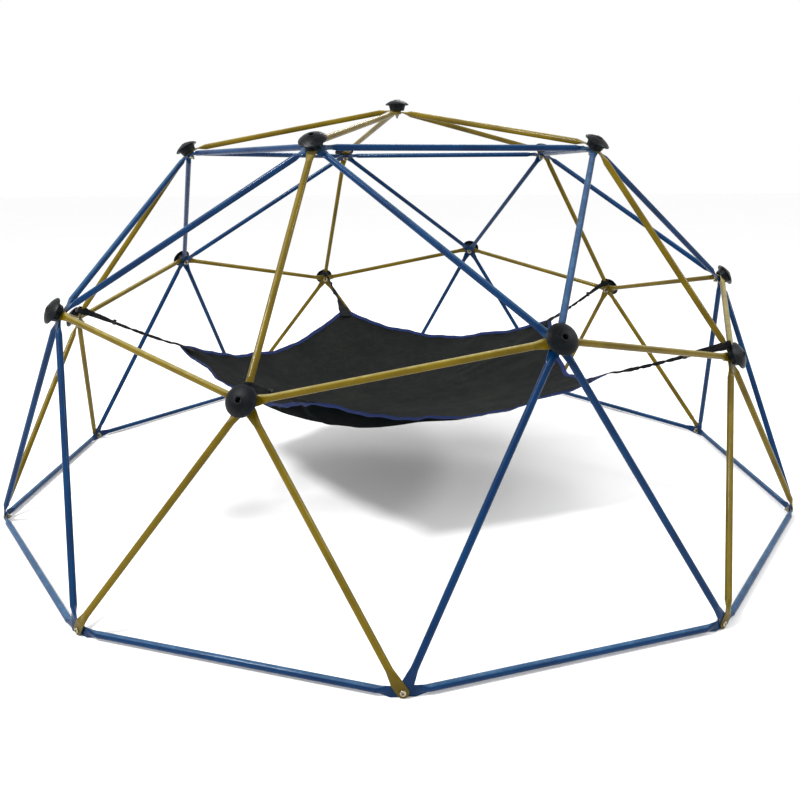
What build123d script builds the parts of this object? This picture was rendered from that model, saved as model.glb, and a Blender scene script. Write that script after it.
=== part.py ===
"""Dome climber: a geodesic half sphere of bolted steel tubes with a five-cornered hammock hung inside.

Millimetres, +Z up. The origin is on the ground under the middle of the dome, and one base node
points to -Y. The dome is half an icosidodecahedron of long blue tubes. Each of its pentagons is
raised into a shallow pyramid by five short yellow tubes that meet at a five-way hub.
"""

from build123d import *
import os
from math import asin, cos, pi, radians, sin, sqrt

os.makedirs("parts", exist_ok=True)

# Dome
long_strut = 942.0          # blue tube, bolt hole to bolt hole
hub_rise = 153.0            # how far a five-way hub stands out from the ring of its neighbours
tube_diameter = 20.0
tube_wall = 1.2
tab_reach = 31.0            # bolt hole to the bend behind the pressed tab
tab_swell = 36.0            # length over which the pressed tab opens to the round tube
tab_gap = 0.1               # paint clearance between stacked tabs

# Bolts, nuts and washers
bolt_diameter = 8.0
hole_clearance = 0.5        # radial, in tabs, washers and caps
head_diameter = 13.0
head_height = 6.0
socket_width = 6.0          # hexagon socket across its flats
socket_depth = 3.5
nut_width = 13.0            # across the flats
nut_height = 6.5
washer_diameter = 24.0
washer_thickness = 1.6
bolt_end = 5.0              # thread that stands out of the nut
base_head_diameter = 17.0   # low round head on the base nodes' outer side
base_head_height = 4.5
seat_gap = 0.1              # between a fastener or cap and the face that it sits on

# Plastic hub cap
cap_diameter = 88.0
cap_edge = 3.5              # thickness of the rim
cap_dome = 15.0             # height of the domed top above the rim
cap_body_diameter = 64.0
cap_foot_diameter = 54.0
cap_body = 20.0             # height of the tapering body under the rim
cap_wall = 3.0
cap_boss_diameter = 26.0
cap_recess_diameter = 16.0
cap_recess_floor = 14.0     # above the cap's foot
cap_ring_width = 4.0        # raised ring round the recess
cap_ring_height = 1.2

# Hammock straps
strap_width = 25.0
strap_thickness = 1.6
strap_drop = 22.5           # degrees below level, from hub to corner
loop_offset = 20.0          # along the leg tube, from its bend to the strap's loop
loop_clearance = 0.3        # between the pressed tube's edges and the webbing round them
loop_stretch = 2.0          # the loop is this much longer on each side than it is wide
loop_length = 78.0          # leg tube's axis to the loop's stitched end
strap_length = 322.0        # stitched end of the loop to the cloth's corner
strap_end_gap = 1.6         # the strap's last stitch is opened here so that each side can move
pivot_gap = 0.8             # between the loop's end and the swinging strap
strap_nose = 6.0            # width of the strap's end where it meets the loop
strap_nose_slope = 2.2      # its corners slope back this far, so that it can swing
buckle_length = 12.0
buckle_wall = 3.0
buckle_clearance = 0.4
buckle_offset = 52.0        # along the strap from the loop's end

# Hammock cloth
cloth_thickness = 2.0
edge_bow = 24.0             # how far the middle of an edge is drawn in, seen from above
edge_sag = 100.0            # how far it hangs below the corners
belly_depth = 265.0         # cloth's middle below the corners
belly_ring_share = 0.55     # where the cloth's inner fold ring lies, as a share of the edge's radius
belly_ring_drop = 0.80      # how deep that ring hangs, as a share of the belly's depth
binding_width = 22.0
binding_gap = 0.4

# What follows from the sizes above
tab_width = pi * (tube_diameter - tube_wall) / 2 + tube_wall
tab_thickness = 2 * tube_wall
tab_pitch = tab_thickness + tab_gap
base_radius = long_strut / (2 * sin(radians(18)))
ring_radius = long_strut / (2 * sin(radians(36)))
hub_distance = sqrt(base_radius**2 - ring_radius**2) + hub_rise
node_height = tab_width / 2
crown_polar = asin(ring_radius / base_radius)
hole_diameter = bolt_diameter + 2 * hole_clearance
sectors = range(5)
centre = Vector(0, 0, node_height)


def from_centre(distance, polar, azimuth):
    """A point at this distance from the dome's centre, polar angle in radians, azimuth in degrees."""
    turn = radians(azimuth)
    level = distance * sin(polar)
    return centre + Vector(level * cos(turn), level * sin(turn), distance * cos(polar))


# Hubs: where each one is, and how many tabs are stacked on its bolt.
place = {("apex", 0): from_centre(hub_distance, 0, 0)}
for k in sectors:
    place["crown", k] = from_centre(base_radius, crown_polar, 72 * k - 108)
    place["five_way", k] = from_centre(hub_distance, 2 * crown_polar, 72 * k - 108)
    place["six_way", k] = from_centre(base_radius, pi / 2 - crown_polar, 72 * k - 72)
for k in range(10):
    place["base", k] = from_centre(base_radius, pi / 2, 36 * k - 90)
stacked_tabs = {"apex": 5, "crown": 6, "five_way": 5, "six_way": 6, "base": 4}
upper_hubs = [hub for hub in place if hub[0] != "base"]
base_nodes = [hub for hub in place if hub[0] == "base"]


def outward(hub):
    return (place[hub] - centre).normalized()


def half_stack(hub):
    return stacked_tabs[hub[0]] * tab_pitch / 2


def tab_centre(hub, level):
    """Middle of a tab's bolt hole. Level 0 is the innermost tab of the stack."""
    return place[hub] + outward(hub) * ((level + 0.5) * tab_pitch - half_stack(hub))


def tab_direction(hub, level, target):
    """From a tab's hole towards the strut's other end, within the tab's own plane."""
    reach = target - tab_centre(hub, level)
    return (reach - outward(hub) * reach.dot(outward(hub))).normalized()


def tube_ends(start, start_level, end, end_level):
    """The two bends between which a tube runs straight."""
    start_hole = tab_centre(start, start_level)
    end_hole = tab_centre(end, end_level)
    start_bend = start_hole + tab_direction(start, start_level, end_hole) * tab_reach
    end_bend = end_hole + tab_direction(end, end_level, start_hole) * tab_reach
    return start_bend, end_bend


def closed_outline(points, side_arcs=False):
    """A section with four sides, flat for a pressed tab and bulged to one circle for a round tube."""
    radius = sqrt(points[0][0] ** 2 + points[0][1] ** 2)
    bulges = [(0, -radius), (radius, 0), (0, radius), (-radius, 0)]
    with BuildLine() as outline:
        for corner_index, bulge in enumerate(bulges):
            begin = points[corner_index]
            end = points[(corner_index + 1) % 4]
            if side_arcs:
                ThreePointArc(begin, bulge, end)
            else:
                Line(begin, end)
    make_face(outline.edges())


def pressed_section():
    x = tab_width / 2
    y = tab_thickness / 2
    closed_outline([(-x, -y), (x, -y), (x, y), (-x, y)])


def round_section():
    x = tube_diameter / 2 * cos(radians(35))
    y = tube_diameter / 2 * sin(radians(35))
    closed_outline([(-x, -y), (x, -y), (x, y), (-x, y)], side_arcs=True)


def pressed_tube(start, start_level, end, end_level):
    """A tube with both ends pressed flat, bent into the hubs' tangent planes and drilled."""
    start_hole = tab_centre(start, start_level)
    end_hole = tab_centre(end, end_level)
    start_toward = tab_direction(start, start_level, end_hole)
    end_toward = tab_direction(end, end_level, start_hole)
    start_bend, end_bend = tube_ends(start, start_level, end, end_level)
    run = (end_bend - start_bend).normalized()
    side = outward(start).cross(start_toward)
    round_start = start_bend + run * tab_swell
    round_end = end_bend - run * tab_swell
    cavity_length = (round_end - round_start).length - 2 * tube_wall
    stations = [
        (start_hole - start_toward * tab_width / 2, start_toward, pressed_section),
        (start_bend, start_toward, pressed_section),
        (round_start, run, round_section),
        (round_end, run, round_section),
        (end_bend, -end_toward, pressed_section),
        (end_hole - end_toward * tab_width / 2, -end_toward, pressed_section),
    ]
    with BuildPart() as tube:
        for spot, heading, outline in stations:
            with BuildSketch(Plane(spot, x_dir=side, z_dir=heading)):
                outline()
        loft(ruled=True)
        for hub, hole, toward in ((start, start_hole, start_toward), (end, end_hole, end_toward)):
            with BuildSketch(Plane(hole, x_dir=toward, z_dir=outward(hub))):
                with Locations((-tab_width / 2, 0)):
                    Rectangle(tab_width, 2 * tab_width)
                Circle(tab_width / 2, mode=Mode.SUBTRACT)
                Circle(hole_diameter / 2)
            extrude(amount=tab_thickness, both=True, mode=Mode.SUBTRACT)
        with BuildSketch(Plane(round_start + run * tube_wall, z_dir=run)):
            Circle(tube_diameter / 2 - tube_wall)
        extrude(amount=cavity_length, mode=Mode.SUBTRACT)
    return tube.part


def write(name, *solids):
    """One file per named node. Identical or paired pieces stay separate solids in it."""
    node = solids[0] if len(solids) == 1 else Compound(children=list(solids))
    node.label = name
    export_step(node, f"parts/{name}.step")


# Tubes, sector by sector: five short tubes from the apex, the crown ring, the short legs and the
# long braces under it, the waist ring, and the legs, braces and rails of the base.
for k in sectors:
    after = (k + 1) % 5
    apex = ("apex", 0)
    crown = ("crown", k)
    next_crown = ("crown", after)
    five_way = ("five_way", k)
    next_five_way = ("five_way", after)
    six_way = ("six_way", k)
    left_base = ("base", 2 * k)
    right_base = ("base", 2 * k + 1)
    next_base = ("base", (2 * k + 2) % 10)
    before_base = ("base", (2 * k - 1) % 10)
    write(f"apex_spoke_{k + 1}", pressed_tube(apex, k, crown, 5))
    write(f"crown_rail_{k + 1}", pressed_tube(crown, 0, next_crown, 1))
    write(f"crown_leg_{k + 1}", pressed_tube(crown, 4, five_way, 4))
    write(
        f"crown_brace_pair_{k + 1}",
        pressed_tube(crown, 2, six_way, 0),
        pressed_tube(next_crown, 3, six_way, 1),
    )
    write(
        f"waist_rail_pair_{k + 1}",
        pressed_tube(five_way, 2, six_way, 4),
        pressed_tube(six_way, 5, next_five_way, 3),
    )
    write(
        f"base_leg_pair_{k + 1}",
        pressed_tube(five_way, 0, left_base, 3),
        pressed_tube(five_way, 1, before_base, 3),
    )
    write(
        f"base_brace_pair_{k + 1}",
        pressed_tube(six_way, 2, left_base, 2),
        pressed_tube(six_way, 3, right_base, 2),
    )
    write(
        f"base_rail_pair_{k + 1}",
        pressed_tube(left_base, 0, right_base, 1),
        pressed_tube(right_base, 0, next_base, 1),
    )


def seats(hubs, side):
    """A plane on each hub's stack, facing out (side 1) or in (side -1)."""
    planes = []
    for hub in hubs:
        face = place[hub] + outward(hub) * side * (half_stack(hub) + seat_gap)
        across = Vector(0, 0, 1).cross(outward(hub))
        if across.length < 0.1:
            across = Vector(1, 0, 0)
        planes.append(Plane(face, x_dir=across, z_dir=outward(hub) * side))
    return planes


def write_on_seats(name, piece, hubs, side):
    """Copies of one piece on every hub of the list, as separate solids in one node."""
    with BuildPart() as group:
        with Locations(*seats(hubs, side)):
            add(piece)
    write(name, group.part)


# Hub caps: one moulding on the outside of every hub above the ground. A thin domed rim overhangs a
# tapering hollow body, and the bolt's head sits deep in a ringed recess.
rim_bottom = cap_body
rim_top = cap_body + cap_edge
with BuildPart() as cap:
    with BuildSketch(Plane.XZ):
        with BuildLine():
            Line((0, 0), (cap_foot_diameter / 2, 0))
            Line((cap_foot_diameter / 2, 0), (cap_body_diameter / 2, rim_bottom))
            Line((cap_body_diameter / 2, rim_bottom), (cap_diameter / 2, rim_bottom))
            Line((cap_diameter / 2, rim_bottom), (cap_diameter / 2, rim_top))
            ThreePointArc(
                (cap_diameter / 2, rim_top),
                (cap_diameter / 2 * sin(radians(45)), rim_top + cap_dome * 0.55),
                (0, rim_top + cap_dome),
            )
            Line((0, rim_top + cap_dome), (0, 0))
        make_face()
    revolve(axis=Axis.Z)
    with BuildSketch(Plane.XY.offset(rim_top + cap_dome - cap_ring_height)):
        Circle(cap_recess_diameter / 2 + cap_ring_width)
    extrude(amount=cap_ring_height * 1.5)
    with BuildSketch(Plane.XY.offset(cap_recess_floor)):
        Circle(cap_recess_diameter / 2)
    extrude(amount=cap_body + cap_edge + cap_dome, mode=Mode.SUBTRACT)
    with BuildSketch(Plane.XY):
        Circle(hole_diameter / 2)
    extrude(amount=cap_body, mode=Mode.SUBTRACT)
    with BuildSketch(Plane.XY):
        Circle(cap_foot_diameter / 2 - cap_wall)
        Circle(cap_boss_diameter / 2, mode=Mode.SUBTRACT)
    extrude(amount=cap_body - cap_wall, mode=Mode.SUBTRACT)
write_on_seats("hub_caps", cap.part, upper_hubs, 1)

# Hub bolts: socket screws from the recess of the cap, through the tabs, to a washer and a nut.
for name, hubs, count in (
    ("hub_bolts", upper_hubs, 6),
    ("base_bolts", base_nodes, 4),
):
    at_base = hubs is base_nodes
    seat_height = 0 if at_base else cap_recess_floor + seat_gap
    grip = count * tab_pitch + 2 * seat_gap + washer_thickness + 2 * seat_gap + nut_height + bolt_end
    with BuildPart() as bolt:
        with BuildSketch(Plane.XY.offset(seat_height)):
            Circle(base_head_diameter / 2 if at_base else head_diameter / 2)
        extrude(amount=base_head_height if at_base else head_height)
        top = bolt.faces().sort_by(Axis.Z)[-1]
        fillet(top.edges(), radius=(base_head_height * 0.7) if at_base else head_height * 0.15)
        with BuildSketch(Plane.XY.offset(seat_height)):
            Circle(bolt_diameter / 2)
        extrude(amount=-(seat_height + grip))
        chamfer(bolt.faces().sort_by(Axis.Z)[0].edges(), length=bolt_diameter * 0.1)
        with BuildSketch(bolt.faces().sort_by(Axis.Z)[-1]):
            RegularPolygon(socket_width / 2, 6, major_radius=False)
        extrude(amount=-socket_depth, mode=Mode.SUBTRACT)
    write_on_seats(name, bolt.part, hubs, 1)

for name, hubs in (("hub", upper_hubs), ("base", base_nodes)):
    with BuildPart() as washer:
        with BuildSketch(Plane.XY):
            Circle(washer_diameter / 2)
            Circle(bolt_diameter / 2 + hole_clearance, mode=Mode.SUBTRACT)
        extrude(amount=washer_thickness)
    write_on_seats(f"{name}_washers", washer.part, hubs, -1)
    with BuildPart() as nut:
        with BuildSketch(Plane.XY.offset(washer_thickness + seat_gap)):
            RegularPolygon(nut_width / 2, 6, major_radius=False)
            Circle(bolt_diameter / 2 + seat_gap, mode=Mode.SUBTRACT)
        extrude(amount=nut_height)
    write_on_seats(f"{name}_nuts", nut.part, hubs, -1)

def tube_half_width(distance):
    """Half the width of a tube's swell, this far from its bend."""
    share = min(max(distance / tab_swell, 0), 1)
    return (tab_width + (tube_diameter - tab_width) * share) / 2


# Hammock suspension: under each five-way hub a strap is looped round the crown leg, runs through a
# small slide buckle, and goes down to a corner of the cloth.
slope = radians(strap_drop)
strap_loops = []
for k in sectors:
    hub_bend, crown_bend = tube_ends(("five_way", k), 4, ("crown", k), 4)
    up_leg = (crown_bend - hub_bend).normalized()
    anchor = hub_bend + up_leg * loop_offset
    turn = radians(72 * k - 108)
    inward = Vector(-cos(turn) * cos(slope), -sin(turn) * cos(slope), -sin(slope))
    sideways = Vector(sin(turn), -cos(turn), 0)
    band = sideways.cross(inward)
    loop_hole = tube_half_width(loop_offset - strap_width * 0.53) + loop_clearance
    loop_radius = loop_hole + strap_thickness
    with BuildPart() as loop:
        with BuildSketch(Plane(anchor, x_dir=inward, z_dir=band)):
            with Locations((-loop_stretch, 0), (loop_stretch, 0)):
                Circle(loop_radius)
            with Locations((loop_length - strap_thickness, 0)):
                Circle(strap_thickness)
            make_hull()
            with BuildSketch(mode=Mode.SUBTRACT):
                with Locations((-loop_stretch, 0), (loop_stretch, 0)):
                    Circle(loop_hole)
                with Locations((loop_length - 4 * strap_thickness - loop_hole, 0)):
                    Circle(strap_thickness / 2)
                make_hull()
        extrude(amount=strap_width / 2, both=True)
    strap_loops.append(loop.part)

    strap_start = anchor + inward * (loop_length + pivot_gap)
    run_length = strap_length - pivot_gap - strap_end_gap
    with BuildPart() as strap:
        with BuildSketch(Plane(strap_start, x_dir=inward, z_dir=sideways)):
            with BuildLine():
                Polyline(
                    (0, -strap_nose / 2),
                    (0, strap_nose / 2),
                    (strap_nose_slope, strap_width / 2),
                    (run_length, strap_width / 2),
                    (run_length, -strap_width / 2),
                    (strap_nose_slope, -strap_width / 2),
                    close=True,
                )
            make_face()
        extrude(amount=strap_thickness / 2, both=True)
    write(f"hammock_strap_{k + 1}", strap.part)

    with BuildPart() as buckle:
        with BuildSketch(Plane(strap_start + inward * buckle_offset, x_dir=sideways, z_dir=inward)):
            RectangleRounded(
                strap_thickness + 2 * (buckle_clearance + buckle_wall),
                strap_width + 2 * (buckle_clearance + buckle_wall),
                buckle_wall,
            )
            Rectangle(
                strap_thickness + 2 * buckle_clearance,
                strap_width + 2 * buckle_clearance,
                mode=Mode.SUBTRACT,
            )
        extrude(amount=buckle_length)
    write(f"strap_buckle_{k + 1}", buckle.part)
write("strap_loops", *strap_loops)

# Hammock cloth: five corners, edges that are drawn in and hang, and a deep belly. Its plain solid
# is a dish of flat facets, and the binding that is sewn round its edge is a ring of the same kind.
corner = anchor + inward * (loop_length + strap_length)
corner_radius = sqrt(corner.X**2 + corner.Y**2)
corner_height = corner.Z
middle_radius = corner_radius * cos(radians(36)) - edge_bow


def rim_point(step, inset):
    """Point of the cloth's outline, corner on even steps and middle of an edge on odd ones."""
    turn = radians(36 * step - 108)
    if step % 2:
        reach = middle_radius - inset
        height = corner_height - edge_sag
    else:
        reach = corner_radius - inset * corner_radius / middle_radius
        height = corner_height
    return Vector(reach * cos(turn), reach * sin(turn), height)


def belly_point(step):
    turn = radians(36 * step - 108)
    reach = middle_radius * belly_ring_share
    return Vector(reach * cos(turn), reach * sin(turn), corner_height - belly_depth * belly_ring_drop)


def upright_facet(*corners):
    """A flat facet of cloth, thickened upwards."""
    extrude(Face(Wire.make_polygon(corners, close=True)), amount=cloth_thickness, dir=(0, 0, 1))


cloth_inset = binding_width + binding_gap
belly_middle = Vector(0, 0, corner_height - belly_depth)
with BuildPart() as cloth:
    for step in range(10):
        upright_facet(belly_middle, belly_point(step), belly_point(step + 1))
        upright_facet(belly_point(step), rim_point(step, cloth_inset), rim_point(step + 1, cloth_inset))
        upright_facet(belly_point(step), rim_point(step + 1, cloth_inset), belly_point(step + 1))
write("hammock_cloth", cloth.part)

with BuildPart() as binding:
    for step in range(10):
        outer = [rim_point(step, 0), rim_point(step + 1, 0)]
        inner = [rim_point(step, binding_width), rim_point(step + 1, binding_width)]
        upright_facet(outer[0], outer[1], inner[0])
        upright_facet(outer[1], inner[1], inner[0])
write("hammock_binding", binding.part)
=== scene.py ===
"""Dome climber: painted steel tubes bolted into a half sphere, with a five-cornered hammock inside."""
import random
from math import atan2, cos, hypot, pi, radians, sin, tau

import bmesh
import bpy
from mathutils import Matrix, Vector


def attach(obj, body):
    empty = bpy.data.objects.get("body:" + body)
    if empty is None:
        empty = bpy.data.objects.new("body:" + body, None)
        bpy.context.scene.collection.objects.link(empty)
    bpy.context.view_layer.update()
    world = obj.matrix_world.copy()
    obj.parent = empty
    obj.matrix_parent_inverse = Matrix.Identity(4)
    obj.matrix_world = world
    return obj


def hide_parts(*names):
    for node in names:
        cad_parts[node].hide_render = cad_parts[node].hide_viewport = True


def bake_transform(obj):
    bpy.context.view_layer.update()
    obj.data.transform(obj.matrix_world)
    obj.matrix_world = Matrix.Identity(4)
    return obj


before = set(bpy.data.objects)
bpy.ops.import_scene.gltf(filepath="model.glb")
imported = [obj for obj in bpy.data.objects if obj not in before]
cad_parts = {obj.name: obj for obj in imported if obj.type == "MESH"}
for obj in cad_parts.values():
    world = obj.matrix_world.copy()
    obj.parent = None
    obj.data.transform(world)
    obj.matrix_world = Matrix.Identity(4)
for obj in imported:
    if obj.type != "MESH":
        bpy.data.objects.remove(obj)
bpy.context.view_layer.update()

# ---------------------------------------------------------------------------------------------
# Studio: a pale seamless floor under soft lamps, with a bright even room round it.
# The camera stands a little over three metres from the dome's axis, at chest height.
# ---------------------------------------------------------------------------------------------
eye = Vector((-0.01283, -3.24391, 1.24615))
eye_right = Vector((0.999930, -0.011042, -0.004516))
eye_up = Vector((0.006982, 0.234715, 0.972039))
lens = bpy.data.cameras.new("standing_eye")
lens.sensor_width = 36.0
lens.lens = 36.30
lens.shift_x = -0.0041
lens.shift_y = -0.0429
lens.clip_end = 200.0
camera = bpy.data.objects.new("standing_eye", lens)
bpy.context.scene.collection.objects.link(camera)
camera.matrix_world = Matrix.Translation(eye) @ Matrix(
    (eye_right, eye_up, eye_right.cross(eye_up))
).transposed().to_4x4()
bpy.context.scene.camera = camera


class Finish:
    """One socket of a finish's nodes. Arithmetic on it adds Math nodes."""

    def __init__(self, tree, socket=None):
        self.tree = tree
        self.socket = socket

    def node(self, kind, settings=None, inlets=None, outlet=0):
        """Any other node: its type, its settings, the values or links of its sockets, its outlet."""
        made = self.tree.nodes.new("ShaderNode" + kind)
        for name, value in (settings or {}).items():
            setattr(made, name, value)
        for name, value in (inlets or {}).items():
            if isinstance(value, Finish):
                self.tree.links.new(value.socket, made.inputs[name])
            else:
                made.inputs[name].default_value = value
        return Finish(self.tree, made.outputs[outlet])

    def also(self, outlet):
        """Another outlet of the same node."""
        return Finish(self.tree, self.socket.node.outputs[outlet])

    def reckon(self, operation, first, second=0.0):
        """A Math node on one or two values."""
        return self.node("Math", {"operation": operation}, {0: first, 1: second})

    def between(self, low, high):
        """0 below low, 1 above high, and a smooth step from one to the other."""
        return self.node(
            "MapRange",
            {"interpolation_type": "SMOOTHSTEP"},
            {"Value": self, "From Min": low, "From Max": high},
        )

    def blend_colours(self, at_zero, at_one):
        """One colour where this is 0 and another where it is 1."""
        return self.node("Mix", {"data_type": "RGBA"}, {0: self, 6: at_zero, 7: at_one}, 2)

    def __add__(self, other):
        return self.reckon("ADD", self, other)

    def __radd__(self, other):
        return self.reckon("ADD", other, self)

    def __sub__(self, other):
        return self.reckon("SUBTRACT", self, other)

    def __rsub__(self, other):
        return self.reckon("SUBTRACT", other, self)

    def __mul__(self, other):
        return self.reckon("MULTIPLY", self, other)

    def __rmul__(self, other):
        return self.reckon("MULTIPLY", other, self)

    def __pow__(self, other):
        return self.reckon("POWER", self, other)


def tint(red, green, blue):
    """A colour picked on a screen, as the light that it stands for."""
    return tuple((part / 255) ** 2.2 for part in (red, green, blue)) + (1.0,)


def new_finish(name, fixed):
    """A finish with its shader. What is the same all over the surface is set here."""
    material = bpy.data.materials.new(name)
    material.use_nodes = True
    tree = material.node_tree
    tree.nodes.clear()
    shader = tree.nodes.new("ShaderNodeBsdfPrincipled")
    for socket, value in fixed.items():
        shader.inputs[socket].default_value = value
    out = tree.nodes.new("ShaderNodeOutputMaterial")
    tree.links.new(shader.outputs[0], out.inputs["Surface"])
    return material, Finish(tree), shader


def feed(shader, **varying):
    """Links what changes over the surface to the shader's sockets."""
    for name, value in varying.items():
        value.tree.links.new(value.socket, shader.inputs[name.replace("_", " ")])


def speckle(lay, place, scale, detail=3.0, roughness=0.55):
    """Cloudy noise: its scale is in clouds to the metre."""
    return lay.node(
        "TexNoise",
        {},
        {"Vector": place, "Scale": scale, "Detail": detail, "Roughness": roughness},
        "Fac",
    )


def raised(lay, height, depth, under=None):
    """Bump of this depth in metres, over another bump if one is given."""
    inlets = {"Height": height, "Distance": depth, "Strength": 1.0}
    if under:
        inlets["Normal"] = under
    return lay.node("Bump", {}, inlets)


floor_half = 40.0
floor_drop = 0.0006         # under the base nodes, so that the two faces don't flicker
floor_corners = ((-1, -1), (1, -1), (1, 1), (-1, 1))
floor_mesh = bpy.data.meshes.new("studio_floor")
floor_mesh.from_pydata(
    [(x * floor_half, y * floor_half, -floor_drop) for x, y in floor_corners],
    [],
    [(0, 1, 2, 3)],
)
studio_floor = bpy.data.objects.new("studio_floor", floor_mesh)
bpy.context.scene.collection.objects.link(studio_floor)
floor_finish, lay, shader = new_finish("studio_floor_paint", {"Roughness": 0.9, "Specular IOR Level": 0.1})
cloud = speckle(lay, lay.node("TexCoord", outlet="Object"), 0.7)
feed(shader, Base_Color=cloud.blend_colours((0.965, 0.965, 0.965, 1), (0.985, 0.985, 0.985, 1)))
floor_mesh.materials.append(floor_finish)

room = bpy.data.worlds.new("bright_room")
room.use_nodes = True
walls = room.node_tree.nodes["Background"].inputs
walls["Color"].default_value = (1.0, 1.0, 1.0, 1.0)
walls["Strength"].default_value = 1.0
bpy.context.scene.world = room
bpy.context.scene.view_settings.view_transform = "Standard"

lamps_aim = Vector((0, 0, 0.6))
for name, spot, power, size in (
    ("soft_lamp_left", (-3.4, -2.6, 5.0), 330.0, 0.9),
    ("soft_lamp_right", (4.4, -1.2, 3.6), 70.0, 0.8),
    ("soft_lamp_behind", (0.6, 4.6, 4.2), 55.0, 1.4),
):
    lamp = bpy.data.lights.new(name, "AREA")
    lamp.shape = "DISK"
    lamp.energy = power
    lamp.size = size
    stand = bpy.data.objects.new(name, lamp)
    stand.location = spot
    stand.rotation_euler = (lamps_aim - Vector(spot)).to_track_quat("-Z", "Y").to_euler()
    bpy.context.scene.collection.objects.link(stand)

# ---------------------------------------------------------------------------------------------
# Tubes: steel tube pressed flat at both ends, drilled, and coated with baked powder paint in two
# colours. The paint is rubbed round each bolt, where the tabs are pulled together. Where a tube
# faces up it is painted paler: a painted highlight, with a little dust.
# ---------------------------------------------------------------------------------------------
bolt_rings = (
    # out from the axis, height, azimuth of one bolt in degrees, and the angle from it to the next
    (0.8013, 1.3119, -108.0, 72.0),
    (1.2965, 0.6636, -108.0, 72.0),
    (1.2966, 0.8167, -72.0, 72.0),
    (1.5242, 0.0154, -90.0, 36.0),
)
apex_height = 1.4649
bare_steel = (0.24, 0.23, 0.22, 1)


def off_nearest_bolt(lay, place):
    """Distance from a point of a tube to the nearest bolt, in metres."""
    parts = lay.node("SeparateXYZ", {}, {0: place})
    x, y, z = parts, parts.also("Y"), parts.also("Z")
    out = (x * x + y * y) ** 0.5
    turn = lay.reckon("ARCTAN2", y, x)
    nearest = (out * out + (z - apex_height) ** 2.0) ** 0.5
    for ring_out, ring_height, first, step in bolt_rings:
        half = radians(step) / 2
        swing = lay.node(
            "Math", {"operation": "WRAP"}, {0: turn - radians(first), 1: half, 2: -half}
        )
        along = out * lay.reckon("COSINE", swing)
        rise = z - ring_height
        gap = (out * out - 2 * ring_out * along + (ring_out**2 + rise * rise)) ** 0.5
        nearest = lay.reckon("MINIMUM", nearest, gap)
    return nearest


def powder_paint(name, fresh, deep, rubbed, dust_and_highlight_colour):
    """Glossy powder paint: two depths of its colour, rubbed round the bolts, and painted paler where it
    faces up: a painted highlight with a little dust.
    """
    material, lay, shader = new_finish(
        name, {"Coat Roughness": 0.09, "Specular IOR Level": 0.08, "Coat IOR": 1.45}
    )
    place = lay.node("TexCoord", outlet="Object")
    cloud = speckle(lay, place, 7.0, 5.0).between(0.35, 0.68)
    fine = speckle(lay, place, 95.0, 4.0)
    worn = 1 - (off_nearest_bolt(lay, place) + fine * 0.03).between(0.026, 0.062)   # metres
    chips = lay.node("TexVoronoi", {}, {"Vector": place, "Scale": 160.0}, "Distance")
    chipped = (1 - chips.between(0.06, 0.14)) * fine.between(0.52, 0.66)
    # Painted highlight: where the tube faces up, its colour is blended towards a pale colour that stands
    # in for light on the tops, with a little dust.
    lit_top = lay.node("SeparateXYZ", {}, {0: lay.node("NewGeometry", outlet="Normal")}, "Z")
    patchy = speckle(lay, place, 26.0, 6.0, 0.7).between(0.42, 0.72)
    dust_and_top_highlight = lit_top.between(0.45, 0.95) * (0.5 + patchy * 0.5)
    colour = cloud.blend_colours(fresh, deep)
    colour = (worn * 0.55).blend_colours(colour, rubbed)
    colour = (dust_and_top_highlight * 0.42).blend_colours(colour, dust_and_highlight_colour)
    colour = (worn * chipped * 0.8).blend_colours(colour, bare_steel)
    skin = raised(lay, speckle(lay, place, 520.0, 2.0), 0.00035)
    skin = raised(lay, speckle(lay, place, 60.0, 2.0) - worn * chipped, 0.0004, skin)
    feed(
        shader,
        Base_Color=colour,
        Roughness=0.24 + cloud * 0.08 + worn * 0.14 + dust_and_top_highlight * 0.18,
        Coat_Weight=0.12 - worn * 0.08,
        Normal=skin,
    )
    return material


def coat(node, finish):
    """Gives a finish to a part of the frame."""
    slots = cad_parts[node].data.materials
    for seat in range(len(slots)):
        slots[seat] = finish


# The last colour of each paint is the pale colour of the tops: a painted highlight with a little dust.
blue_paint = powder_paint(
    "blue_powder_paint", tint(0, 48, 84), tint(0, 38, 71), tint(5, 38, 63), tint(96, 134, 166)
)
yellow_paint = powder_paint(
    "yellow_powder_paint", tint(100, 84, 12), tint(82, 68, 8), tint(74, 64, 25), tint(196, 186, 128)
)
# The frame's tubes come with the name of their paint, so each gets the finish of that name.
packed_paint = {"blue_paint": blue_paint, "yellow_paint": yellow_paint}
for node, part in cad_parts.items():
    own = part.data.materials[0].name
    if own in packed_paint:
        coat(node, packed_paint[own])

# ---------------------------------------------------------------------------------------------
# Hub caps: one black plastic moulding over every raised joint, with a fine spark-eroded grain,
# pushed on by the bolt. The edges of the rim and of the bolt's recess are polished by hands.
# ---------------------------------------------------------------------------------------------
cap_plastic, lay, shader = new_finish("cap_moulded_plastic", {"Specular IOR Level": 0.12})
place = lay.node("TexCoord", outlet="Object")
cloud = speckle(lay, place, 18.0, 5.0, 0.65).between(0.38, 0.66)
edge = lay.node("NewGeometry", outlet="Pointiness").between(0.52, 0.58)
rings_of_wear = lay.node(
    "TexWave",
    {"wave_type": "RINGS"},
    {"Vector": place, "Scale": 22.0, "Distortion": 18.0, "Detail": 4.0},
    "Fac",
)
scuffs = rings_of_wear.between(0.93, 1.0)
colour = cloud.blend_colours(tint(3, 8, 12), tint(9, 15, 20))
colour = (edge * 0.25).blend_colours(colour, tint(36, 43, 48))
colour = (scuffs * 0.15).blend_colours(colour, tint(40, 46, 50))
grain = raised(lay, speckle(lay, place, 900.0, 2.0), 0.0003)
grain = raised(lay, speckle(lay, place, 210.0, 3.0), 0.0004, grain)
feed(
    shader,
    Base_Color=colour,
    Roughness=0.36 + cloud * 0.12 - edge * 0.08 + scuffs * 0.1,
    Normal=grain,
)
coat("hub_caps", cap_plastic)

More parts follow.
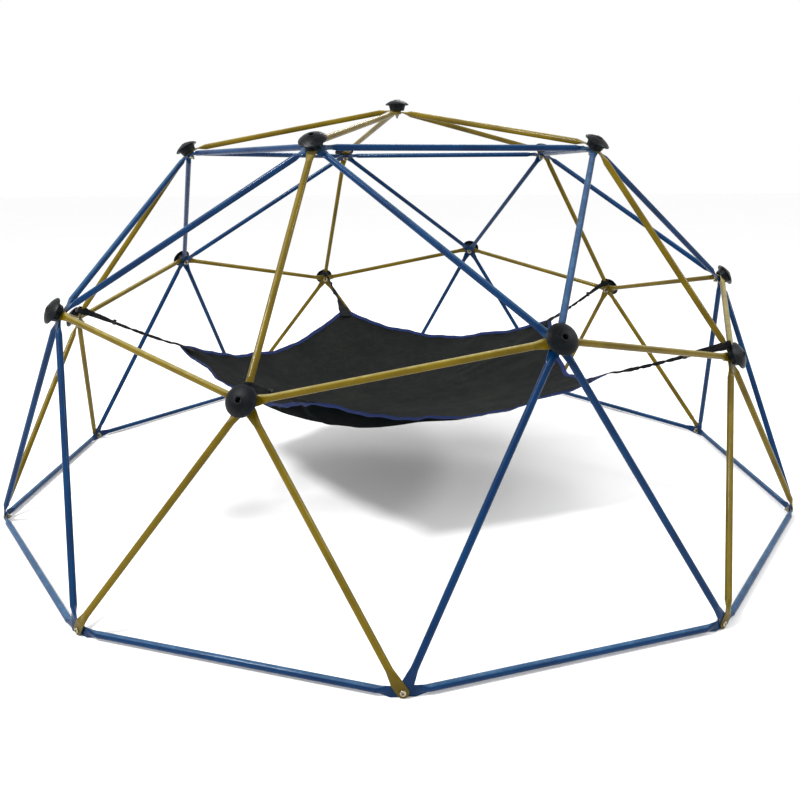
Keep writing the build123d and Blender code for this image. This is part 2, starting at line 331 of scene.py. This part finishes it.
# ---------------------------------------------------------------------------------------------
# Bolts, washers and nuts: zinc-plated steel, bright on the heads, dull with fine turning marks on
# the washers. One set through every joint.
# ---------------------------------------------------------------------------------------------
zinc_steel, lay, shader = new_finish("zinc_plated_steel", {"Metallic": 1.0})
place = lay.node("TexCoord", outlet="Object")
bloom = speckle(lay, place, 140.0, 5.0, 0.7).between(0.4, 0.7)
stain = speckle(lay, place, 38.0, 4.0).between(0.58, 0.74)
colour = bloom.blend_colours(tint(158, 150, 128), tint(116, 108, 92))
colour = (stain * 0.5).blend_colours(colour, tint(96, 74, 50))
feed(
    shader,
    Base_Color=colour,
    Roughness=0.24 + bloom * 0.16 + stain * 0.2,
    Normal=raised(lay, speckle(lay, place, 1200.0, 2.0), 0.0001),
)
for ring in ("hub", "base"):
    for fastener in ("bolts", "washers", "nuts"):
        coat(f"{ring}_{fastener}", zinc_steel)

# ---------------------------------------------------------------------------------------------
# Strap loops: black polyester webbing passed round each crown leg just under the five-way joint,
# its two plies laid together and closed with rows of lockstitch. They stay where they are put.
# ---------------------------------------------------------------------------------------------
webbing_thickness = 0.0016
webbing_width = 0.025
corner_radius = 0.9055      # the cloth's corners, out from the dome's axis
corner_height = 0.5565
hang = radians(22.5)        # how steeply the straps go down
loop_reach = 0.078          # leg's axis to the loop's stitched end
strap_and_loop = 0.400      # leg's axis to the cloth's corner, before the loop is slid down
slid_down = 0.009           # towards the joint, by the pull of the hammock
leg_rise = atan2(0.6483, 0.4952)            # the crown leg's rise over its run
loop_tube_radius = 0.0142   # half the width of the pressed tube under the loop, with its clearance


def corner_frame(k):
    """Middle of the leg's tube, stitched end of the loop and corner of the cloth, and the directions
    along the strap, level across it, and off its face."""
    turn = radians(72 * k - 108)
    level = Vector((-cos(turn), -sin(turn), 0.0))
    across = Vector((sin(turn), -cos(turn), 0.0))
    corner = -level * corner_radius + Vector((0, 0, corner_height))
    leg = corner - (level * cos(hang) - Vector((0, 0, sin(hang)))) * strap_and_loop
    leg = leg - (level * cos(leg_rise) + Vector((0, 0, sin(leg_rise)))) * slid_down
    inward = (corner - leg).normalized()
    return leg, leg + inward * loop_reach, corner, inward, across, across.cross(inward)


# Woven tape seen end on: across as a share of its width, and off its middle as a share of half
# its thickness. The selvedges are rounder than the flat of the weave.
tape_outline = (
    (-0.5, 0.0), (-0.485, 0.75), (-0.46, 1.0), (-0.25, 0.92),
    (0.0, 1.0), (0.25, 0.92), (0.46, 1.0), (0.485, 0.75),
    (0.5, 0.0), (0.485, -0.75), (0.46, -1.0), (0.25, -0.92),
    (0.0, -1.0), (-0.25, -0.92), (-0.46, -1.0), (-0.485, -0.75),
)


def sewn_skin(name, points, faces, finish, measures):
    """A closed skin with its faces turned outward. Measures are numbers kept at its points."""
    mesh = bpy.data.meshes.new(name)
    mesh.from_pydata([tuple(point) for point in points], [], faces)
    for label, values in measures.items():
        mesh.attributes.new(label, "FLOAT", "POINT").data.foreach_set("value", values)
    shell = bmesh.new()
    shell.from_mesh(mesh)
    bmesh.ops.recalc_face_normals(shell, faces=shell.faces)
    shell.to_mesh(mesh)
    shell.free()
    mesh.materials.append(finish)
    piece = bpy.data.objects.new(name, mesh)
    bpy.context.scene.collection.objects.link(piece)
    return piece


def tape(name, stations, finish):
    """Webbing through stations: middle, direction across, direction off its face, width, thickness."""
    points, runs, shares = [], [], []
    run = 0.0
    for index, (middle, across, off, width, thickness) in enumerate(stations):
        if index:
            run += (middle - stations[index - 1][0]).length
        for a, n in tape_outline:
            points.append(middle + across * (a * width) + off * (n * thickness / 2))
            runs.append(run)
            shares.append(a * width)
    count = len(tape_outline)
    last = (len(stations) - 1) * count
    faces = []
    for row in range(0, last, count):
        for i in range(count):
            j = (i + 1) % count
            faces.append((row + i, row + j, row + count + j, row + count + i))
    faces.append(tuple(range(count))[::-1])
    faces.append(tuple(range(last, last + count)))
    piece = sewn_skin(name, points, faces, finish, {"along": runs, "across": shares})
    for polygon in piece.data.polygons:
        polygon.use_smooth = len(polygon.vertices) == 4
    return piece


def woven_tape(name, dark, light, sewn, stitches):
    """Ribbed webbing, with lockstitch in rows this far from its middle if stitches are given."""
    material, lay, shader = new_finish(name, {"Specular IOR Level": 0.08})
    along = lay.node("Attribute", {"attribute_name": "along"}, outlet="Fac")
    across = lay.node("Attribute", {"attribute_name": "across"}, outlet="Fac")
    place = lay.node("TexCoord", outlet="Object")
    slant = lay.reckon("ABSOLUTE", across) * 0.9
    rib = lay.reckon("SINE", (along + slant) * (tau / 0.0026)) * 0.5 + 0.5
    yarn = lay.reckon("SINE", across * (tau / 0.0017)) * 0.5 + 0.5
    weave = rib * 0.65 + yarn * 0.35
    fuzz = speckle(lay, place, 650.0, 4.0, 0.7)
    soil = speckle(lay, place, 24.0, 5.0).between(0.4, 0.7)
    colour = (weave * 0.6 + fuzz * 0.4).blend_colours(dark, light)
    colour = (soil * 0.3).blend_colours(colour, tint(44, 42, 38))
    height = weave * 0.7 + fuzz * 0.3
    for row in stitches:
        beside = lay.reckon("ABSOLUTE", lay.reckon("ABSOLUTE", across) - row)
        line = 1 - beside.between(0.0004, 0.0009)
        dash = (lay.reckon("SINE", along * (tau / 0.0045)) * 0.5 + 0.5).between(0.25, 0.45)
        colour = (line * dash * 0.9).blend_colours(colour, sewn)
        height = height - line * (1 - dash) * 0.8
    feed(
        shader,
        Base_Color=colour,
        Roughness=0.62 + fuzz * 0.25,
        Normal=raised(lay, height, 0.0005),
    )
    return material


strap_webbing = woven_tape(
    "black_webbing", tint(7, 8, 10), tint(24, 26, 29), tint(38, 40, 44), (0.0, 0.0095)
)


def ease(share):
    """A smooth step from 0 to 1."""
    share = min(max(share, 0.0), 1.0)
    return share * share * (3 - 2 * share)


loop_end_gap = 0.001        # the webbing's cut edge ends this far inside the stitched end
plies_meet = 0.034          # from the leg's axis, where the two plies come together
ply_gap = 0.00015           # either side of the middle, where the plies lie together
tube_gap = 0.0006           # between the webbing and the tube
wrap_start = 0.004          # from the leg's axis, where the webbing leaves the tube
wrap_reach = 0.0145         # from the leg's axis to the back of the wrap, inside the webbing
narrowing = 0.0045          # the loop is this much narrower at its stitched end
flat_steps = 14             # steps along the plies, along their spreading and round the tube
spread_steps = 8
wrap_steps = 16


def loop_path(k):
    """Middle line of the webbing from the stitched end, round the tube and back."""
    axis, _, _, inward, across, _ = corner_frame(k)
    half = webbing_thickness / 2
    wrap = loop_tube_radius + tube_gap + half
    cut_edge = loop_reach - loop_end_gap
    path = []
    for side in (1, -1):
        ply = []
        for step in range(flat_steps + 1):
            share = step / flat_steps
            ply.append((cut_edge - (cut_edge - plies_meet) * share, side * (half + ply_gap)))
        for step in range(1, spread_steps):
            share = step / spread_steps
            spread = half + (wrap - half) * ease(share)
            ply.append((plies_meet - (plies_meet - wrap_start) * share, side * spread))
        path.append(ply)
    turn = []
    for step in range(wrap_steps + 1):
        a = pi * step / wrap_steps
        turn.append((wrap_start * cos(a) - (wrap_reach + half) * sin(a), wrap * cos(a)))
    full = path[0] + turn + path[1][::-1]
    return [axis + inward * along + across * aside for along, aside in full]


for k in range(5):
    line = loop_path(k)
    leg, _, _, _, _, wide = corner_frame(k)
    stations = []
    for i, middle in enumerate(line):
        ahead = (line[min(i + 1, len(line) - 1)] - line[max(i - 1, 0)]).normalized()
        off_face = ahead.cross(wide).normalized()
        width = webbing_width - narrowing * ease((middle - leg).length / loop_reach)
        stations.append((middle, wide, off_face, width, webbing_thickness))
    loop = tape(f"strap_loop_{k + 1}", stations, strap_webbing)
    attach(loop, "frame")
    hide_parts("strap_loops")

# ---------------------------------------------------------------------------------------------
# Hammock straps: the same webbing, pulled through a small slide buckle, folded down its middle and
# twisted on its way to the cloth, where it opens again and is sewn over the corner.
# ---------------------------------------------------------------------------------------------
twist_turns = (1.5, -1.5, 2.0, -0.5, 1.5)   # from loop to cloth, one for each strap
drawn_thin = (1.0, 1.0, 1.0, 0.0, 1.0)      # 1 where the twist rolls the strap up, 0 where it stays flat
end_width = (0.030, 0.030, 0.030, 0.044, 0.030)     # where it is sewn down
sewn_length = 0.075         # how far the strap runs on over the cloth's corner
tucked_in = 0.004           # how far it runs into the loop's end
start_width = 0.0205        # at the loop's end
fold_in = 0.0085            # how much narrower the fold down its middle makes it
fold_thick = 0.0012         # how much thicker the fold makes it
flat_wide = 0.009           # how much wider it is where it isn't rolled
roll_thick = 0.0040         # how much thicker it is where it is rolled
over_cloth = 0.0042         # its middle over the cloth's, where it is sewn on
sag = 0.004                 # of its middle, under its own weight
edge_wander = 0.0012        # how unevenly it was drawn together
strap_steps = 96
draw = random.Random(11)

# Where each change begins, and over what length it happens. These count from the strap's start.
closes = (-0.004, 0.055)
gathers = (0.0, 0.070)
rolls_up = (0.058, 0.05)
stays_wide = (0.07, 0.08)
twist_start = 0.075
twist_end = 0.030           # before the corner
# These count from the cloth's corner.
climbs = (-0.03, 0.03)
opens = (-0.09, 0.12)
undoes = (-0.05, 0.07)

# The cloth leaves each corner at this slope, so the strap's sewn end lies along it.
corner_slope = radians(24.0)
up = Vector((0, 0, 1))


def change(run, stretch):
    """How much of a change is done at this run, from 0 to 1."""
    begins, length = stretch
    return ease((run - begins) / length)


straps = []
for k in range(5):
    _, loop_end, corner, inward, across, _ = corner_frame(k)
    strap_run = (corner - loop_end).length
    start = loop_end - inward * tucked_in
    free_run = strap_run + tucked_in
    total = free_run + sewn_length
    level_in = Vector((inward.x, inward.y, 0)).normalized()
    over = level_in * cos(corner_slope) - up * sin(corner_slope)
    stations = []
    wander = [draw.uniform(-edge_wander, edge_wander) for _ in range(strap_steps + 1)]
    for i in range(strap_steps + 1):
        run = total * i / strap_steps
        past_corner = run - strap_run
        if run > free_run:
            middle = corner + over * (run - free_run) + up * over_cloth
            heading = over
        else:
            middle = start + inward * run
            middle = middle - up * sag * sin(pi * run / free_run)
            middle = middle + up * over_cloth * change(past_corner, climbs)
            heading = inward
        folded = change(run, closes)
        still_drawn = 1 - change(past_corner, undoes)
        gather = change(run, gathers) * still_drawn
        rolled = drawn_thin[k] * change(run, rolls_up) * still_drawn
        width = start_width - fold_in * folded * gather + wander[i] * gather
        width = width + flat_wide * (1 - drawn_thin[k]) * change(run, stays_wide)
        width = width + (end_width[k] - start_width) * change(past_corner, opens)
        thickness = webbing_thickness + fold_thick * folded * gather + roll_thick * rolled
        # Buckle and loop hold the webbing upright; the cloth's corner lays it flat.
        twisted = change(run, (twist_start, strap_run - twist_start - twist_end))
        angle = pi / 2 + (twist_turns[k] * tau - pi / 2) * twisted
        side = across * cos(angle) + heading.cross(across).normalized() * sin(angle)
        stations.append((middle, side, heading.cross(side).normalized(), width, thickness))
    strap = tape(f"hammock_strap_{k + 1}_twisted", stations, strap_webbing)
    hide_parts(f"hammock_strap_{k + 1}")
    straps.append((strap, loop_end, corner))

# ---------------------------------------------------------------------------------------------
# Slide buckles: small black nylon frames, moulded in one piece, that hold the folded webbing and take
# up the slack of each strap. They turn a little with the strap as the hammock goes down.
# ---------------------------------------------------------------------------------------------
buckle_finish, lay, shader = new_finish("buckle_nylon", {"Specular IOR Level": 0.3})
place = lay.node("TexCoord", outlet="Object")
cloud = speckle(lay, place, 60.0, 4.0).between(0.4, 0.65)
feed(
    shader,
    Base_Color=cloud.blend_colours(tint(9, 10, 12), tint(20, 22, 25)),
    Roughness=0.34 + cloud * 0.14,
    Normal=raised(lay, speckle(lay, place, 1100.0, 2.0), 0.0002),
)
buckle_offset = 0.0508      # from the loop's stitched end
buckle_length = 0.012       # along the strap
buckle_wall = 0.003
buckle_gap = 0.0006         # between its inside and the folded webbing
folded_half_width = 0.0068
buckle_rounding = 0.0011
post_inset = 0.0004         # the end posts are this much shorter along the strap than the cheeks


def rounded_bar(shell, middle, side_on, depth_on, along, half_width, half_depth, half_length):
    """A moulded bar with every long edge rounded, and its ends drawn in."""
    flat_width = half_width - buckle_rounding
    flat_depth = half_depth - buckle_rounding
    outline = []
    for cx, cy, first in ((1, 1, 0), (-1, 1, 90), (-1, -1, 180), (1, -1, 270)):
        for step in range(4):
            a = radians(first + 30 * step)
            x = cx * flat_width + buckle_rounding * cos(a)
            y = cy * flat_depth + buckle_rounding * sin(a)
            outline.append((x, y))
    sections = []
    for share, shrink in ((-1.0, 0.72), (-0.9, 1.0), (0.9, 1.0), (1.0, 0.72)):
        end = middle + along * (half_length * share)
        sections.append([
            shell.verts.new(end + side_on * (x * shrink) + depth_on * (y * shrink)) for x, y in outline
        ])
    for low, high in zip(sections, sections[1:]):
        for i in range(len(outline)):
            j = (i + 1) % len(outline)
            shell.faces.new((low[i], low[j], high[j], high[i]))
    shell.faces.new(sections[0][::-1])
    shell.faces.new(sections[-1])


blend_run = 0.125           # from the loop's end, along the strap
for k, (strap, start, corner) in enumerate(straps):
    _, _, _, inward, across, off = corner_frame(k)
    middle = start + inward * (buckle_offset + buckle_length / 2)
    half_gap = (webbing_thickness + fold_thick) / 2 + buckle_gap
    half_wide = folded_half_width + buckle_gap
    shell = bmesh.new()
    for side in (-1, 1):
        # The two long cheeks on the webbing's faces, then the two short end posts.
        rounded_bar(
            shell, middle + across * side * (half_gap + buckle_wall / 2), across, inward, off,
            buckle_wall / 2, buckle_length / 2, half_wide + buckle_wall,
        )
        rounded_bar(
            shell, middle + off * side * (half_wide + buckle_wall / 2), off, inward, across,
            buckle_wall / 2, buckle_length / 2 - post_inset, half_gap + buckle_wall * 0.8,
        )
    mesh = bpy.data.meshes.new(f"slide_buckle_{k + 1}")
    bmesh.ops.recalc_face_normals(shell, faces=shell.faces)
    shell.to_mesh(mesh)
    shell.free()
    mesh.materials.append(buckle_finish)
    mesh.shade_smooth()
    buckle = bpy.data.objects.new(f"slide_buckle_{k + 1}", mesh)
    bpy.context.scene.collection.objects.link(buckle)
    follows = start + inward * blend_run
    f"strap_{k + 1}"
    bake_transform(buckle)
    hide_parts(f"strap_buckle_{k + 1}")

# ---------------------------------------------------------------------------------------------
# Hammock cloth: one five-cornered sheet of charcoal polyester oxford cloth. It hangs from its
# corners, its edges drawn in and down, and its slack falls into a belly with creases to the corners.
# ---------------------------------------------------------------------------------------------
belly_curve = 1.7
# The wall of the belly is steeper beside the first corner and shallow along the edge after it.
steep_wall = (0.05, 0.06, 0.10)     # place round the outline, its reach either way, change of curve
shallow_wall = (0.13, 0.09, -0.90)
belly_middle = Vector((-0.200, -0.100, 0.3000))
cloth_thickness = 0.0012
hem_inset = 0.004           # the cloth ends this far inside the binding's fold
spokes = 160
rings = 44
# Each edge hangs in its own way: sag and bow of the edges from corner k to corner k + 1.
edge_sags = (0.104, 0.118, 0.098, 0.116, 0.098)
edge_bows = (0.020, 0.030, 0.036, 0.014, 0.034)
edge_ripple = 0.0075        # up and down, between the corners
edge_wobble = 0.005         # in and out


def rim(turn_share):
    """Outline of the cloth at a share of the way round from the first corner."""
    place_on = turn_share * 5
    k = int(place_on) % 5
    t = place_on - int(place_on)
    here = radians(72 * k - 108)
    there = here + radians(72)
    a = Vector((cos(here), sin(here), 0)) * corner_radius
    b = Vector((cos(there), sin(there), 0)) * corner_radius
    curve = 4 * t * (1 - t)
    inward = -(a + b).normalized()
    point = a.lerp(b, t) + inward * edge_bows[k] * curve
    wave = sin(tau * (3 * t + 0.17 * k)) * 0.5 + sin(tau * (5.5 * t + 0.31 * k)) * 0.35
    hang_down = edge_sags[k] * (0.80 * curve + 0.20 * curve * curve)
    off_corners = min(1.0, 4 * curve)
    point.z = corner_height - hang_down + edge_ripple * wave * off_corners
    return point + inward * edge_wobble * sin(tau * (4 * t + 0.4 * k)) * off_corners


def hung(turn_share, share, inset=0.0):
    """A point of the cloth: share 0 is the middle of the belly, 1 is the outline."""
    edge = rim(turn_share) - belly_middle
    out = hypot(edge.x, edge.y)
    scale = share * (out - inset) / out
    curve = belly_curve
    for middle, reach, change in (steep_wall, shallow_wall):
        away = abs((turn_share - middle + 0.5) % 1 - 0.5)
        curve += change * ease(1 - away / reach)
    return belly_middle + Vector((edge.x * scale, edge.y * scale, edge.z * share**curve))


def seat(index):
    """Where a point of the sheet lies: its edge, its share of the way from the belly's middle to the
    outline, and how far it is off the nearest corner, as a share of that edge."""
    turn_share = (index - 1) % spokes / spokes
    t = (turn_share * 5) % 1
    return int(turn_share * 5), ((index - 1) // spokes + 1) / rings, min(t, 1 - t)


points = [hung(0.0, 0.0)]
for ring in range(1, rings + 1):
    points += [hung(spoke / spokes, ring / rings, hem_inset) for spoke in range(spokes)]
flat_spots = [(0.0, 0.0, 0.0)] + [(point.x, point.y, 0.0) for point in points[1:]]
faces = [(0, 1 + spoke, 1 + (spoke + 1) % spokes) for spoke in range(spokes)]
for ring in range(rings - 1):
    low = 1 + ring * spokes
    for spoke in range(spokes):
        after = (spoke + 1) % spokes
        faces.append((low + spoke, low + spokes + spoke, low + spokes + after, low + after))
mesh = bpy.data.meshes.new("hammock_cloth_sheet")
mesh.from_pydata([tuple(p) for p in points], [], faces)
mesh.attributes.new("cut", "FLOAT_VECTOR", "POINT").data.foreach_set(
    "vector", [part for spot in flat_spots for part in spot]
)
cloth = bpy.data.objects.new("hammock_cloth_sheet", mesh)
bpy.context.scene.collection.objects.link(cloth)

# The sheet is let out a little and hung by simulation: its corners are held, its sewn edge nearly,
# and the slack buckles into creases. No point may end far from where it began.
furthest = 0.018
hang_time = 32              # steps of the simulation
let_out = 0.035             # how much longer the slack makes the sheet, as a share
held = cloth.vertex_groups.new(name="held")
for index in range(1, len(points)):
    _, share, off_corner = seat(index)
    if share == 1.0:
        held.add([index], 1.0 if off_corner < 0.03 else 0.75, "REPLACE")
    elif share > 0.955 and off_corner < 0.04:
        held.add([index], 0.9, "REPLACE")
fabric = cloth.modifiers.new("hang", "CLOTH")
fabric.settings.quality = 6
fabric.settings.mass = 0.25
fabric.settings.tension_stiffness = 22
fabric.settings.compression_stiffness = 22
fabric.settings.shear_stiffness = 12
fabric.settings.bending_stiffness = 0.12
fabric.settings.tension_damping = 12
fabric.settings.compression_damping = 12
fabric.settings.air_damping = 3.0
fabric.settings.shrink_min = -let_out
fabric.settings.vertex_group_mass = "held"
fabric.settings.pin_stiffness = 3.0
fabric.collision_settings.use_collision = False
fabric.collision_settings.use_self_collision = False
scene = bpy.context.scene
scene.frame_start = 1
scene.frame_end = hang_time
fabric.point_cache.frame_start = 1
fabric.point_cache.frame_end = hang_time
for moment in range(1, hang_time + 1):
    scene.frame_set(moment)
hung_cloth = cloth.evaluated_get(bpy.context.evaluated_depsgraph_get())
settled = [v.co.copy() for v in hung_cloth.data.vertices]
cloth.modifiers.remove(fabric)
cloth.vertex_groups.clear()
scene.frame_set(1)
free_move = furthest * 0.5
for vertex, start, end in zip(mesh.vertices, points, settled):
    shift = end - start
    if shift.length > free_move:
        # Long moves are eased off towards the limit, so that no crease is cut flat.
        excess = shift.length - free_move
        shift = shift.normalized() * (free_move + excess / (1 + excess / free_move))
    vertex.co = start + shift

# Pull lines that run from each corner to the belly.
pull_depth = 0.0045
pull_waves = 62.0           # how closely the pull lines lie, in radians to an edge's length
for index, vertex in enumerate(mesh.vertices):
    if index:
        k, share, off_corner = seat(index)
        pull = pull_depth * sin(off_corner * pull_waves + 0.6 * k) * ease((0.26 - off_corner) / 0.2)
        vertex.co.z += pull * ease((share - 0.38) / 0.3) * ease((1.02 - share) / 0.12)

sheet_points = [v.co.copy() for v in mesh.vertices]


def cloth_finish(name, dark, light, worn, gloss):
    """Oxford weave: pairs of warp yarns over pairs of weft yarns, creased and lightly soiled."""
    yarn_pair = tau / 0.0024    # two yarns, in metres
    material, lay, shader = new_finish(name, {"Specular IOR Level": gloss})
    cut = lay.node("Attribute", {"attribute_name": "cut"}, outlet="Vector")
    parts = lay.node("SeparateXYZ", {}, {0: cut})
    warp = lay.reckon("SINE", parts * yarn_pair) * 0.5 + 0.5
    weft = lay.reckon("SINE", parts.also("Y") * yarn_pair) * 0.5 + 0.5
    over = lay.reckon("SINE", (parts + parts.also("Y")) * (yarn_pair / 2)) * 0.5 + 0.5
    weave = warp * over + weft * (1 - over)
    creases = speckle(lay, cut, 9.0, 6.0, 0.62)
    sharp = 1 - (lay.reckon("ABSOLUTE", creases - 0.5)).between(0.0, 0.035)
    crumple = speckle(lay, cut, 46.0, 5.0, 0.6)
    chalk = speckle(lay, cut, 4.0, 7.0, 0.66).between(0.42, 0.72)
    colour = (weave * 0.35 + chalk * 0.65).blend_colours(dark, light)
    colour = (sharp * 0.14).blend_colours(colour, worn)
    skin = raised(lay, crumple, 0.0012)
    skin = raised(lay, creases + sharp * 0.06, 0.006, skin)
    skin = raised(lay, weave, 0.00035, skin)
    feed(shader, Base_Color=colour, Roughness=0.72 + weave * 0.14, Normal=skin)
    return material


# The under face is the same oxford cloth painted far darker and less glossy than the upper face: painted
# shade for the underside of the belly.
top_cloth = cloth_finish(
    "charcoal_oxford_top", tint(23, 25, 25), tint(34, 36, 34), tint(51, 52, 48), 0.06
)
shaded_under_cloth = cloth_finish(
    "charcoal_oxford_under_painted_shade", tint(0, 8, 10), tint(2, 13, 15), tint(9, 20, 23), 0.01
)
mesh.materials.append(top_cloth)
mesh.materials.append(shaded_under_cloth)
for polygon in mesh.polygons:
    polygon.use_smooth = True
skin = cloth.modifiers.new("cloth_thickness", "SOLIDIFY")
skin.thickness = cloth_thickness
skin.offset = 0.0
skin.material_offset = 1
rounder = cloth.modifiers.new("soft_folds", "SUBSURF")
rounder.levels = 1
rounder.render_levels = 1
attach(cloth, "hammock")
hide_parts("hammock_cloth")

# ---------------------------------------------------------------------------------------------
# Edge binding: a band of blue-violet tape folded over the raw edge of the cloth and sewn through
# both sides with one row of lockstitch. It puckers where the edge is drawn in.
# ---------------------------------------------------------------------------------------------
binding_reach = 0.020       # on each face of the cloth
binding_thickness = 0.0011
stitch_row = 0.0165         # from the fold
fold_out = 0.0034           # the fold stands this far outside the cloth's edge
binding_finish, lay, shader = new_finish("violet_edge_binding", {"Specular IOR Level": 0.08})
along = lay.node("Attribute", {"attribute_name": "along"}, outlet="Fac")
inside = lay.node("Attribute", {"attribute_name": "inside"}, outlet="Fac")
place = lay.node("TexCoord", outlet="Object")
rib = lay.reckon("SINE", along * (tau / 0.0016)) * 0.5 + 0.5
fuzz = speckle(lay, place, 700.0, 4.0, 0.7)
pucker = speckle(lay, place, 70.0, 4.0)
line = 1 - lay.reckon("ABSOLUTE", inside - stitch_row).between(0.0004, 0.0009)
dash = (lay.reckon("SINE", along * (tau / 0.005)) * 0.5 + 0.5).between(0.25, 0.45)
colour = (rib * 0.4 + pucker * 0.6).blend_colours(tint(24, 33, 66), tint(36, 49, 90))
colour = (line * dash * 0.8).blend_colours(colour, tint(56, 68, 112))
height = rib * 0.4 + fuzz * 0.3 - line * (1 - dash) * 0.8
feed(
    shader,
    Base_Color=colour,
    Roughness=0.6 + fuzz * 0.25,
    Normal=raised(lay, height, 0.0005, raised(lay, pucker, 0.002)),
)
# Seen end on, the tape goes from its top hem round the cloth's edge to its hem underneath and back
# along its inner skin: how far in from the fold, and how far above the cloth's middle.
skin_off = cloth_thickness / 2 + 0.0003
tape_off = skin_off + binding_thickness
binding_section = (
    (binding_reach, skin_off), (binding_reach, tape_off), (binding_reach * 0.72, tape_off * 1.12),
    (binding_reach * 0.4, tape_off), (0.003, tape_off), (0.0008, tape_off * 0.75), (0.0, 0.0),
    (0.0008, -tape_off * 0.75), (0.003, -tape_off), (binding_reach * 0.4, -tape_off),
    (binding_reach * 0.72, -tape_off * 1.12), (binding_reach, -tape_off), (binding_reach, -skin_off),
    (0.0026, -skin_off), (0.0026, skin_off),
)
outline = sheet_points[-spokes:]
ring_inside = sheet_points[-2 * spokes:-spokes]
points, runs, insides, faces = [], [], [], []
run = 0.0
for spoke, edge in enumerate(outline):
    ahead = (outline[(spoke + 1) % spokes] - outline[spoke - 1]).normalized()
    outward = edge - ring_inside[spoke]
    outward = (outward - ahead * outward.dot(ahead)).normalized()
    off_cloth = outward.cross(ahead)
    off_cloth = off_cloth if off_cloth.z > 0 else -off_cloth
    fold = edge + outward * fold_out
    if spoke:
        run += (edge - outline[spoke - 1]).length
    ripple = 0.0006 * sin(run * tau / 0.045) + 0.0004 * sin(run * tau / 0.023)
    for reach, height in binding_section:
        lift = height + ripple * min(1.0, reach / 0.004)
        points.append(fold - outward * reach + off_cloth * lift)
        runs.append(run)
        insides.append(reach)
count = len(binding_section)
for spoke in range(spokes):
    row = spoke * count
    after = (spoke + 1) % spokes * count
    for i in range(count):
        j = (i + 1) % count
        faces.append((row + i, row + j, after + j, after + i))
binding = sewn_skin(
    "hammock_edge_binding", points, faces, binding_finish, {"along": runs, "inside": insides}
)
binding.data.shade_smooth()
rounder = binding.modifiers.new("soft_edge", "SUBSURF")
rounder.levels = 1
rounder.render_levels = 1
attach(binding, "hammock")
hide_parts("hammock_binding")

# The straps' meshes are final, so their placement is baked into them.
for strap, start, corner in straps:
    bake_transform(strap)
